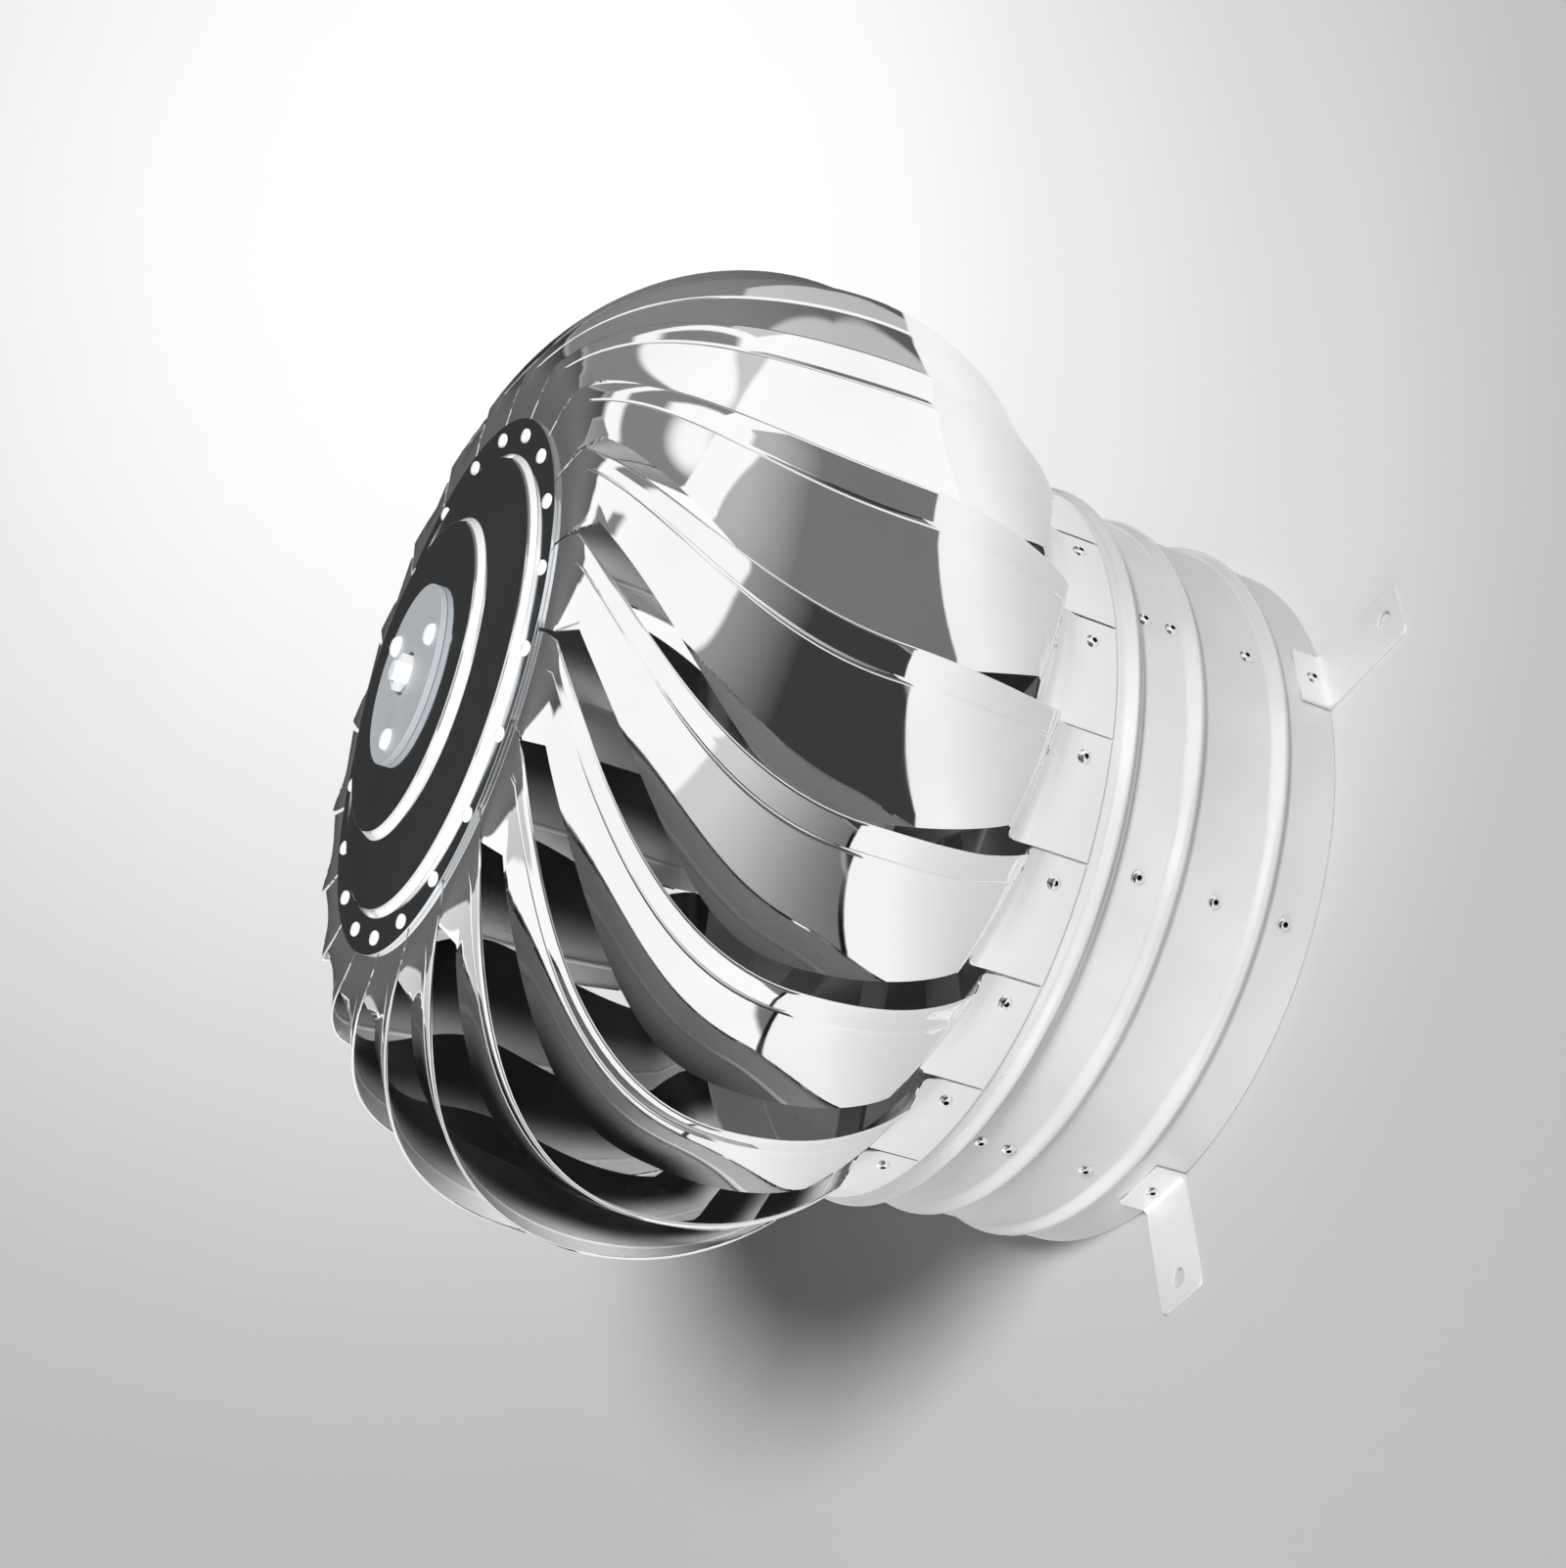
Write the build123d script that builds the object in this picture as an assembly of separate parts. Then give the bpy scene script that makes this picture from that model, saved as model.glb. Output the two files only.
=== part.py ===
from build123d import *
import math
import os

# Roof turbine ventilator, millimetres, +Z up, origin at the centre of the neck's lower end.

# Neck
neck_radius = 150.0
neck_height = 104.0
neck_sheet = 1.0
neck_bead_height = 3.2
neck_bead_width = 11.0
lower_neck_bead = 25.5
upper_neck_bead = 65.0
seam_angle = -86.5
seam_rivet_heights = (13.4, 45.7, 80.4)

# Feet
foot_count = 4
foot_first_angle = 45.0
foot_width = 27.0
foot_length = 50.0
foot_leg = 14.0
foot_sheet = 1.5
foot_hole_setback = 40.0
foot_hole = 8.5
foot_corner = 3.0
foot_rivet_height = 7.5

# Straps across the neck
strap_width = 25.0
strap_sheet = 2.0
strap_level = 96.0
strap_end = 32.0
strap_rivet_heights = (39.0, 74.5, 87.0)

# Spindle, nuts, washers and bearings
spindle_radius = 10.0
bearing_bore = 7.5
bearing_outer = 17.5
bearing_width = 11.0
bearing_split = 10.8
thread_radius = 4.0
thread_end = 2.0
nut_flats = 13.0
nut_height = 9.5
washer_radius = 8.5
washer_sheet = 1.5
bearing_drop = 5.0
bearing_opening = 13.0

# Rotor ring
ring_gap = 3.0
ring_sheet = 1.0
ring_overlap = 11.6
ring_height = 36.0
ring_bead_height = 3.0
ring_bead_width = 8.6

# Blades
blade_count = 20
first_blade_angle = 2.75
blade_sheet = 0.8
belly_overhang = 49.4
belly_rise = 122.6
head_rise = 225.6
crown_overhang = 23.0
corner_tilt_angle = 72.0
flange_rise = 13.0
flange_height = 24.0
joggle_height = 11.0
joggle_skew_angle = 9.0
scoop_depth = 26.0
scoop_end = 5.0
lip_width = 11.0
lip_share = 0.26
blade_span_angle = 16.0
ring_seam_span_angle = 17.7
cap_seam_span_angle = 19.0
belly_lag_angle = 3.4
crown_sweep_angle = 30.1
sweep_power = 2.15
top_flange_length = 13.5
top_flange_sweep_angle = 5.5
main_stations = 8
wedge_lift = 2.0
flange_clearance = 0.35
rivet_setback = 9.7
rivet_band = 17.0
ring_rivet_rise = 10.6
cap_rivet_inset = 7.0
cap_rivet_sweep_angle = 27.0

# Cap plate and hub
cap_radius = 110.0
cap_sheet = 1.5
cap_rim_width = 15.0
first_step_rise = 3.0
cap_cone_width = 29.0
cap_cone_rise = 5.5
second_step_rise = 3.5
step_run = 2.5
hub_radius = 37.0
hub_flange = 2.5
hub_screw_inset = 10.0
hub_screws = 3
screw_head_radius = 4.5
screw_head_height = 2.8
hub_screw_angle = 69.5
housing_wall = 4.5
housing_lid = 2.2
housing_relief = 1.5
hub_opening = 9.0

# Lower spider
spider_arms = 4
spider_first_angle = 17.2
spider_arm_width = 20.0
spider_sheet = 2.0
spider_tab = 14.0

# Fits
running_clearance = 0.05
cap_hole_clearance = 0.3

# Rivets
rivet_radius = 3.0
rivet_height = 1.5
neck_inner = neck_radius - neck_sheet
strap_top = strap_level + 2 * strap_sheet
middle_nut_top = strap_top + nut_height
lower_bearing_base = middle_nut_top + washer_sheet
lower_bearing_top = lower_bearing_base + bearing_width
lower_nut_top = strap_level - washer_sheet
spindle_bottom = lower_nut_top - nut_height - thread_end
ring_inner = neck_radius + ring_gap
ring_outer = ring_inner + ring_sheet
ring_base = neck_height - ring_overlap
ring_top = ring_base + ring_height
belly_radius = ring_outer + belly_overhang
corner_radius = cap_radius + crown_overhang
top_flange_inner = cap_radius - top_flange_length
cap_rivet_radius = cap_radius - cap_rivet_inset
first_step_radius = cap_radius - cap_rim_width
second_step_radius = first_step_radius - cap_cone_width
hub_screw_radius = hub_radius - hub_screw_inset
cap_seat = ring_base + head_rise
belly_height = ring_base + belly_rise
pitch = 360 / blade_count
flange_base = ring_base + flange_rise
flange_top = flange_base + flange_height
flange_waist = flange_base + rivet_band
flange_seat = ring_outer + blade_sheet + flange_clearance
face_base = flange_top + joggle_height
collar_radius = (corner_radius + cap_radius) / 2
first_step_top = cap_seat + cap_sheet + first_step_rise
cap_cone_top = first_step_top + cap_cone_rise
hub_seat = cap_cone_top + second_step_rise
hub_top = hub_seat + hub_flange
cap_hole = bearing_outer + housing_wall + cap_hole_clearance
upper_bearing_top = hub_seat - bearing_drop
upper_bearing_base = upper_bearing_top - bearing_width
relief_top = upper_bearing_top + housing_relief
top_nut_base = upper_bearing_top + washer_sheet
spindle_top = top_nut_base + nut_height + thread_end
corner_sine = math.sin(math.radians(corner_tilt_angle))
corner_cosine = math.cos(math.radians(corner_tilt_angle))
belly_semi_height = (cap_seat - belly_height) / corner_sine
belly_centre = (corner_radius - belly_radius * corner_cosine) / (1 - corner_cosine)
base_tilt = -math.degrees(math.asin((belly_height - face_base) / belly_semi_height))


def lip_sweep(turn):
    """Angle of the free edge at one place of the belly's ellipse, from its foot on the ring."""
    if turn > 0:
        return crown_sweep_angle * (turn / corner_tilt_angle) ** sweep_power - belly_lag_angle
    return -belly_lag_angle * (1 - 0.6 * (turn / base_tilt) ** 3)


def scoop_gap(turn):
    """Depth of the opening under the lip: widest at mid height, narrow at both ends."""
    middle = (corner_tilt_angle + base_tilt) / 2
    share = (turn - middle) / (corner_tilt_angle - base_tilt)
    return scoop_end + (scoop_depth - scoop_end) * math.cos(math.pi * share)


def blade_section(radius, height, angle, tilt, gap, reach, lip, skew=0.0):
    """Eight corners of the thin outline across one blade, from its tucked edge to its free lip."""
    turn = math.radians(angle)
    lean = math.radians(tilt)
    roll = math.radians(skew)
    radial = Vector(math.cos(turn), math.sin(turn), 0)
    around = Vector(-math.sin(turn), math.cos(turn), 0)
    normal = radial * math.cos(lean) + Vector(0, 0, math.sin(lean))
    rising = normal.cross(around) * -1
    across = around * math.cos(roll) + rising * math.sin(roll)
    free_edge = radial * radius + Vector(0, 0, height)
    width = radius * math.sin(math.radians(reach))
    bend = math.cos(lean) / (2 * radius)
    crease = gap * lip_share
    middle = (lip + width) / 2
    stops = ((width, gap), (middle, (crease + gap) / 2), (lip, crease), (0, 0))
    outer = [free_edge - across * back - normal * (drop + bend * back**2) for back, drop in stops]
    inner = [corner - normal * blade_sheet for corner in reversed(outer)]
    return outer + inner


def face_section(turn):
    """Section across the scooped face at one place of the belly's ellipse."""
    turning = math.radians(turn)
    radius = belly_centre + (belly_radius - belly_centre) * math.cos(turning)
    height = belly_height + belly_semi_height * math.sin(turning)
    slope = math.tan(turning) * (belly_radius - belly_centre) / belly_semi_height
    tilt = math.degrees(math.atan(slope))
    skew = -joggle_skew_angle * max(turn / base_tilt, 0)
    gap = scoop_gap(turn)
    return blade_section(radius, height, lip_sweep(turn), tilt, gap, blade_span_angle, lip_width, skew)


def folded_sheet(sections):
    """Solid of flat facets between one section and the next, closed by its end sections.

    Both walls of the sheet are split along the same diagonals, so it keeps its thickness.
    """
    facets = [Face(Wire.make_polygon(ends, close=True)) for ends in (sections[0], sections[-1])]
    corner_count = len(sections[0])
    for low, high in zip(sections, sections[1:]):
        for side in range(corner_count):
            after = (side + 1) % corner_count
            quad = [low[side], low[after], high[after], high[side]]
            if side >= corner_count / 2:
                quad = quad[1:] + quad[:1]
            for triangle in (quad[:3], quad[2:] + quad[:1]):
                facets.append(Face(Wire.make_polygon(triangle, close=True)))
    return Solid(Shell(facets))


def scoop_blade():
    """One blade: flange on the ring, joggle, swept scoop face, flange under the cap."""
    rivet_flat = 2 * rivet_setback
    skew = -joggle_skew_angle
    crown = lip_sweep(corner_tilt_angle)
    collar_sweep = crown + top_flange_sweep_angle / 3
    root_sweep = crown + top_flange_sweep_angle
    shoulder_radius = flange_seat + wedge_lift
    ring_span = ring_seam_span_angle
    cap_span = cap_seam_span_angle
    sections = [
        blade_section(flange_seat, flange_base, 0, 0, 0, ring_span, rivet_flat),
        blade_section(flange_seat, flange_waist, 0, 0, 0, ring_span, rivet_flat, skew / 2),
        blade_section(shoulder_radius, flange_top, 0, 0, wedge_lift, ring_span, lip_width, skew),
    ]
    for station in range(main_stations):
        share = station / (main_stations - 1)
        sections.append(face_section(base_tilt + share * (corner_tilt_angle - base_tilt)))
    sections.append(blade_section(collar_radius, cap_seat, collar_sweep, 90, 0, cap_span, lip_width))
    sections.append(blade_section(top_flange_inner, cap_seat, root_sweep, 90, 0, cap_span, lip_width))
    return folded_sheet(sections)


def turned(profile):
    """Solid of revolution about the axis from (radius, height) corners."""
    face = make_face(Plane.XZ * Polyline(*profile, close=True))
    return revolve(face, Axis.Z)


def bead(radius, height, rise, width):
    """Corners of a rolled bead, bottom to top, on a wall of the given radius."""
    return [(radius, height - width / 2), (radius + rise, height), (radius, height + width / 2)]


def neck_tube():
    outer = [(neck_radius, 0)]
    for height in (lower_neck_bead, upper_neck_bead):
        outer += bead(neck_radius, height, neck_bead_height, neck_bead_width)
    return turned(outer + [(neck_radius, neck_height), (neck_inner, neck_height), (neck_inner, 0)])


def foot():
    """Flat strip bent to an L: the short leg lies on the neck, the long one on the roof."""
    inner_bend = foot_sheet
    toe = neck_radius + foot_length
    profile = Polyline(
        (neck_radius, 0),
        (toe, 0),
        (toe, foot_sheet),
        (neck_radius + foot_sheet + inner_bend, foot_sheet),
        (neck_radius + foot_sheet, foot_sheet + inner_bend),
        (neck_radius + foot_sheet, foot_leg),
        (neck_radius, foot_leg),
        close=True,
    )
    bracket = extrude(make_face(Plane.XZ * profile), foot_width / 2, both=True)
    bracket = fillet(bracket.edges().filter_by(Axis.Z).sort_by(Axis.X)[-2:], foot_corner)
    hole = Cylinder(foot_hole / 2, 4 * foot_sheet).moved(Location((neck_radius + foot_hole_setback, 0, 0)))
    return bracket - hole


def strap(level):
    """U-shaped flat strap across the neck, its legs on the inner wall and its middle at a level."""
    wall = math.sqrt(neck_inner**2 - (strap_width / 2) ** 2)
    top = level + strap_sheet
    bend = 2 * strap_sheet
    outline = Polyline(
        (-wall, strap_end), (-wall, top - bend), (-wall + bend, top),
        (wall - bend, top), (wall, top - bend), (wall, strap_end),
        (wall - strap_sheet, strap_end), (wall - strap_sheet, top - bend - strap_sheet / 2),
        (wall - bend - strap_sheet / 2, level), (bend + strap_sheet / 2 - wall, level),
        (strap_sheet - wall, top - bend - strap_sheet / 2), (strap_sheet - wall, strap_end),
        close=True,
    )
    strip = extrude(make_face(Plane.XZ * outline), strap_width / 2, both=True)
    return strip - Cylinder(thread_radius + running_clearance, 4 * level)


def spindle():
    journal = bearing_bore - running_clearance
    return turned([
        (0, spindle_bottom), (thread_radius, spindle_bottom), (thread_radius, lower_bearing_base),
        (journal, lower_bearing_base), (journal, lower_bearing_top),
        (spindle_radius, lower_bearing_top), (spindle_radius, upper_bearing_base),
        (journal, upper_bearing_base), (journal, upper_bearing_top),
        (thread_radius, upper_bearing_top), (thread_radius, spindle_top), (0, spindle_top),
    ])


def ring_between(inner, outer, base, height):
    """Plain ring about the axis."""
    return turned([(inner, base), (outer, base), (outer, base + height), (inner, base + height)])


def spindle_nut(base):
    hexagon = extrude(RegularPolygon(nut_flats / 2, 6, major_radius=False), nut_height)
    return hexagon.moved(Location((0, 0, base))) - Cylinder(thread_radius + running_clearance, 4 * base)


def rotor_ring():
    bead_height = ring_base + ring_bead_width / 2
    outer = bead(ring_outer, bead_height, ring_bead_height, ring_bead_width)
    return turned(outer + [(ring_outer, ring_top), (ring_inner, ring_top), (ring_inner, ring_base)])


def cap_plate():
    """Pressed plate: flat rim, a step, a shallow cone and a second step up to the hub seat."""
    rim = cap_seat + cap_sheet
    top = [
        (cap_radius, rim), (first_step_radius, rim), (first_step_radius - step_run, first_step_top),
        (second_step_radius, cap_cone_top), (second_step_radius - step_run, hub_seat),
        (cap_hole, hub_seat),
    ]
    underside = [(radius, height - cap_sheet) for radius, height in reversed(top)]
    return turned(top + underside)


def upper_housing():
    """Flanged bearing housing, seated on the cap with its barrel through the cap's hole."""
    bore = bearing_outer + running_clearance
    barrel = bearing_outer + housing_wall
    return turned([
        (bore, upper_bearing_base), (barrel, upper_bearing_base), (barrel, hub_seat),
        (hub_radius, hub_seat), (hub_radius, hub_top), (hub_opening, hub_top),
        (hub_opening, relief_top), (bearing_opening, relief_top),
        (bearing_opening, upper_bearing_top), (bore, upper_bearing_top),
    ])


def lower_spider():
    """Flat cross with tabs turned up on the ring's wall and a bearing housing welded on its middle."""
    wall = math.sqrt(ring_inner**2 - (spider_arm_width / 2) ** 2)
    top = lower_bearing_base
    base = top - spider_sheet
    barrel = bearing_outer + housing_wall
    lid = lower_bearing_top + housing_lid
    bend = 1.5 * spider_sheet
    outline = Polyline(
        (0, base), (wall - spider_sheet, base), (wall, base + spider_sheet), (wall, base + spider_tab),
        (wall - spider_sheet, base + spider_tab), (wall - spider_sheet, top + bend - spider_sheet),
        (wall - bend, top), (0, top), close=True,
    )
    arm = extrude(make_face(Plane.XZ * outline), spider_arm_width / 2, both=True)
    cross = ring_between(0, barrel, base, lid - base)
    for index in range(spider_arms):
        cross += arm.rotate(Axis.Z, spider_first_angle + index * 360 / spider_arms)
    cavity = ring_between(0, bearing_outer + running_clearance, top, bearing_width)
    return cross - cavity - ring_between(0, bearing_opening, base, lid)


def button(radius, height):
    """Low faceted head that rises along +Z from its seat."""
    return extrude(RegularPolygon(radius, 6), height, taper=35)


def wall_rivet(radius, height, angle):
    """Rivet head on a wall, pointing outward."""
    head = button(rivet_radius, rivet_height).rotate(Axis.Y, 90)
    return head.moved(Location((radius, 0, height))).rotate(Axis.Z, angle)


def polar(radius, piece, count, first_angle):
    """Copies of a piece spaced evenly round the axis at a radius."""
    copies = []
    for index in range(count):
        turn = Location((0, 0, 0), (0, 0, first_angle + index * 360 / count))
        copies.append(piece.moved(turn * Location((radius, 0, 0))))
    return copies


def write(name, shape):
    solids = shape if isinstance(shape, list) else [shape]
    export_step(Compound(children=solids) if len(solids) > 1 else solids[0], f"parts/{name}.step")


os.makedirs("parts", exist_ok=True)

write("neck_tube", neck_tube())
for index in range(foot_count):
    place = foot_first_angle + index * 360 / foot_count
    write(f"foot_{index + 1}", foot().rotate(Axis.Z, place))
foot_angles = [foot_first_angle + index * 360 / foot_count for index in range(foot_count)]
write("foot_rivets", [
    wall_rivet(neck_radius + foot_sheet, foot_rivet_height, angle) for angle in foot_angles
])
write("strap_rivets", [
    wall_rivet(neck_radius, height, angle) for angle in foot_angles for height in strap_rivet_heights
])
write("seam_rivets", [wall_rivet(neck_radius, height, seam_angle) for height in seam_rivet_heights])
write("strap_lower", strap(strap_level).rotate(Axis.Z, foot_first_angle))
write("strap_upper", strap(strap_level + strap_sheet).rotate(Axis.Z, foot_first_angle + 90))

write("spindle", spindle())
nut_bases = (lower_nut_top - nut_height, strap_top, top_nut_base)
write("spindle_nuts", [spindle_nut(base) for base in nut_bases])
washer_bore = thread_radius + running_clearance
write("spindle_washers", [
    ring_between(washer_bore, washer_radius, base, washer_sheet)
    for base in (lower_nut_top, middle_nut_top, upper_bearing_top)
])
inner_split = bearing_split - running_clearance
bearing_bases = (lower_bearing_base, upper_bearing_base)
write("bearing_inner_rings", [
    ring_between(bearing_bore, inner_split, base, bearing_width) for base in bearing_bases
])
write("bearing_outer_rings", [
    ring_between(bearing_split, bearing_outer, base, bearing_width) for base in bearing_bases
])

write("rotor_ring", rotor_ring())
blade = scoop_blade()
for index in range(blade_count):
    write(f"blade_{index + 1:02d}", blade.rotate(Axis.Z, first_blade_angle + index * pitch))
rivet_back = math.degrees(math.asin(rivet_setback / flange_seat))
rivet_seat = flange_seat * math.cos(math.radians(rivet_back)) + running_clearance
write("ring_rivets", [
    wall_rivet(rivet_seat, flange_base + ring_rivet_rise, first_blade_angle - rivet_back + index * pitch)
    for index in range(blade_count)
])
write("cap_plate", cap_plate())
cap_rivet = button(rivet_radius, rivet_height).moved(Location((0, 0, cap_seat + cap_sheet)))
cap_rivet_angle = first_blade_angle + cap_rivet_sweep_angle
write("cap_rivets", polar(cap_rivet_radius, cap_rivet, blade_count, cap_rivet_angle))
write("upper_housing", upper_housing())
write("lower_spider", lower_spider())
screw_head = button(screw_head_radius, screw_head_height).moved(Location((0, 0, hub_top)))
write("hub_screws", polar(hub_screw_radius, screw_head, hub_screws, hub_screw_angle))
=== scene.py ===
import bpy
import bmesh
import math
from mathutils import Matrix, Vector


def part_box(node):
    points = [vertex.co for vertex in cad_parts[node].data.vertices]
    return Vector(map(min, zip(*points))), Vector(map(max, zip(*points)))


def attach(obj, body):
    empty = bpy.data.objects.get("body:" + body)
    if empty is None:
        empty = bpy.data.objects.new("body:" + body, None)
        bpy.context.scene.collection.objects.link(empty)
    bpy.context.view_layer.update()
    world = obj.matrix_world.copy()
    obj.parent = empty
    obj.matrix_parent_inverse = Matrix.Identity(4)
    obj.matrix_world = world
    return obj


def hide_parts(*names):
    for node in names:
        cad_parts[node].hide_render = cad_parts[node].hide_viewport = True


# Roof turbine ventilator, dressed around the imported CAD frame. Lengths in metres, +Z up.

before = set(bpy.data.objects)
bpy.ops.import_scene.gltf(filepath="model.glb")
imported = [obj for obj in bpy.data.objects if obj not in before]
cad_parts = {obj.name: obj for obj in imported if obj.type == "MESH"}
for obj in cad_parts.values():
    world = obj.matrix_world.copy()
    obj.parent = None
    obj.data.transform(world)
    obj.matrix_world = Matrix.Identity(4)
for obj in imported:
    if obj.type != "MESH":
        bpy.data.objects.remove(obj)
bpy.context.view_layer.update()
mm = 0.001
ringLow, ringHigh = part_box("rotor_ring")
capLow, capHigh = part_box("cap_plate")
neckLow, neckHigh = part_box("neck_tube")
hubLow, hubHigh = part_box("upper_housing")
print("frame loaded:", len(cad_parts), "nodes")


# Shader maths: a socket that adds its own nodes when it is used in a sum

class Wire:
    def __init__(self, graph, socket):
        self.graph = graph
        self.socket = socket

    def math(self, operation, *others):
        values = {index + 1: other for index, other in enumerate(others)}
        return self.graph.node("ShaderNodeMath", {"operation": operation}, {0: self, **values})

    def __add__(self, other):
        return self.math("ADD", other)

    def __sub__(self, other):
        return self.math("SUBTRACT", other)

    def __mul__(self, other):
        return self.math("MULTIPLY", other)

    def __truediv__(self, other):
        return self.math("DIVIDE", other)

    def __rsub__(self, other):
        return self.graph.node("ShaderNodeMath", {"operation": "SUBTRACT"}, {0: other, 1: self})

    def __rtruediv__(self, other):
        return self.graph.node("ShaderNodeMath", {"operation": "DIVIDE"}, {0: other, 1: self})

    __radd__ = __add__
    __rmul__ = __mul__

    def ramp(self, start, end, kind="LINEAR"):      # 0 below start, 1 above end
        return self.graph.node(
            "ShaderNodeMapRange", {"interpolation_type": kind},
            {"Value": self, "From Min": start, "From Max": end},
        )

    def step(self, start, end):      # the same, smooth at both ends
        return self.ramp(start, end, "SMOOTHSTEP")

    def inside(self, low, high, soft):      # 1 between two values, soft at the edges
        return self.step(low - soft, low + soft) * (1 - self.step(high - soft, high + soft))

    def toward(self, other, share):      # this value, moved to another by a share
        return self + (other - self) * share


class Graph:
    def __init__(self, tree):
        self.tree = tree
        tree.nodes.clear()

    def node(self, kind, settings=None, inputs=None, output=0):
        made = self.tree.nodes.new(kind)
        for name, value in (settings or {}).items():
            setattr(made, name, value)
        for name, value in (inputs or {}).items():
            if isinstance(value, Wire):
                self.tree.links.new(value.socket, made.inputs[name])
            else:
                made.inputs[name].default_value = value
        return Wire(self, made.outputs[output]) if len(made.outputs) else None

    def place(self, stretch=(1, 1, 1)):      # object coordinates, stretched
        spot = self.node("ShaderNodeTexCoord", output="Object")
        return self.node("ShaderNodeMapping", inputs={"Vector": spot, "Scale": stretch})

    def parts(self, vector):      # x, y and z of a vector
        return [
            self.node("ShaderNodeSeparateXYZ", inputs={0: vector}, output=axis) for axis in "XYZ"
        ]

    def noise(self, scale, stretch=(1, 1, 1), detail=3.0):
        inputs = {"Vector": self.place(stretch), "Scale": scale, "Detail": detail}
        return self.node("ShaderNodeTexNoise", inputs=inputs)

    def blend(self, share, low, high):      # colours
        made = self.tree.nodes.new("ShaderNodeMix")
        made.data_type = "RGBA"
        for name, value in (("Factor_Float", share), ("A_Color", low), ("B_Color", high)):
            socket = next(entry for entry in made.inputs if entry.identifier == name)
            if isinstance(value, Wire):
                self.tree.links.new(value.socket, socket)
            else:
                socket.default_value = value
        result = next(entry for entry in made.outputs if entry.identifier == "Result_Color")
        return Wire(self, result)

    def bump(self, height, distance, strength=1.0):
        inputs = {"Height": height, "Distance": distance, "Strength": strength}
        return self.node("ShaderNodeBump", inputs=inputs)


def newMaterial(name, build):
    made = bpy.data.materials.new(name)
    made.use_nodes = True
    graph = Graph(made.node_tree)
    surface = build(graph)
    graph.node("ShaderNodeOutputMaterial", inputs={"Surface": surface})
    return made


def grey(level, tint=0.0):
    return (level * (1 - tint), level, level * (1 + tint), 1)


# Metal finishes

finishes = {
    "mirror": {
        "bright": 0.96, "dull": 0.91, "smooth": 0.02, "soft": 0.05, "metal": 1.0, "tint": 0.004,
    },
    "cap": {
        "bright": 0.88, "dull": 0.78, "smooth": 0.05, "soft": 0.10, "metal": 1.0, "tint": 0.03,
    },
    "satin": {
        "bright": 0.67, "dull": 0.61, "smooth": 0.20, "soft": 0.30, "metal": 0.28, "tint": 0.004,
    },
    "foot": {
        "bright": 0.80, "dull": 0.72, "smooth": 0.34, "soft": 0.46, "metal": 0.3, "tint": 0.006,
    },
    "bar": {
        "bright": 0.70, "dull": 0.58, "smooth": 0.28, "soft": 0.42, "metal": 1.0, "tint": 0.01,
    },
    "turned": {
        "bright": 0.78, "dull": 0.66, "smooth": 0.16, "soft": 0.30, "metal": 1.0, "tint": 0.01,
    },
    "plated": {
        "bright": 0.98, "dull": 0.94, "smooth": 0.30, "soft": 0.42, "metal": 0.1, "tint": 0.01,
    },
    "rivet": {
        "bright": 0.98, "dull": 0.94, "smooth": 0.05, "soft": 0.11, "metal": 1.0, "tint": 0.0,
    },
    # painted shade: near-black colour inside the rivet holes
    "holeShade": {
        "bright": 0.05, "dull": 0.03, "smooth": 0.40, "soft": 0.60, "metal": 1.0, "tint": 0.0,
    },
    "cast": {
        "bright": 0.60, "dull": 0.53, "smooth": 0.42, "soft": 0.55, "metal": 0.25, "tint": 0.05,
    },
}


grain = {
    "cloud": 14.0,
    "cloudEdge": (0.35, 0.68),
    "smudge": 45.0,
    "smudgeEdge": (0.52, 0.75),
    "smudgeShare": 0.4,
    "hairline": 900.0,
    "hairlinePolish": 0.01,
    "hairlineDepth": 0.003 * mm,
    "wave": 11.0,
    "relief": 0.4,
    "matt": 0.8,
}


def clouds(graph):
    return graph.noise(grain["cloud"], detail=4.0).step(*grain["cloudEdge"])


def metal(finish, stretch, wave=0.0, mattAndHighlight=None):      # the last argument gives a mask of places made matt and bright: painted light
    look = finishes[finish]
    spread = look["soft"] - look["smooth"]
    smudgeSpread = spread * grain["smudgeShare"]

    def build(graph):
        cloud = clouds(graph)
        hairlines = graph.noise(grain["hairline"], stretch, detail=2.0)
        smudge = graph.noise(grain["smudge"], detail=5.0).step(*grain["smudgeEdge"])
        bright, dull = grey(look["bright"], look["tint"]), grey(look["dull"], look["tint"])
        colour = graph.blend(cloud, bright, dull)
        polish = look["smooth"] + cloud * (spread - smudgeSpread) + smudge * smudgeSpread
        polish = polish + hairlines * grain["hairlinePolish"]
        relief = hairlines * grain["hairlineDepth"] + graph.noise(grain["wave"], detail=1.0) * wave
        shine = look["metal"]
        if mattAndHighlight:
            mask = mattAndHighlight(graph)
            # painted light: the masked places turn bright and matt
            colour = graph.blend(mask, colour, grey(look["bright"]))
            shine = shine - mask * grain["matt"]
        return graph.node("ShaderNodeBsdfPrincipled", inputs={
            "Base Color": colour, "Metallic": shine, "Roughness": polish,
            "Normal": graph.bump(relief, 1.0, grain["relief"]),
        })
    return build


innerWall = {
    # painted light: pale colour by the free lip
    "lip": 0.95,
    # painted shade: dark colour deep in the scoop
    "shadedDeep": 0.14,
    "lipMetal": 0.1,
    "smooth": 0.26,
    "soft": 0.12,
    "hairlineDepth": 0.01 * mm,
    "lightReach": (0.0, 0.55),
}


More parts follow.
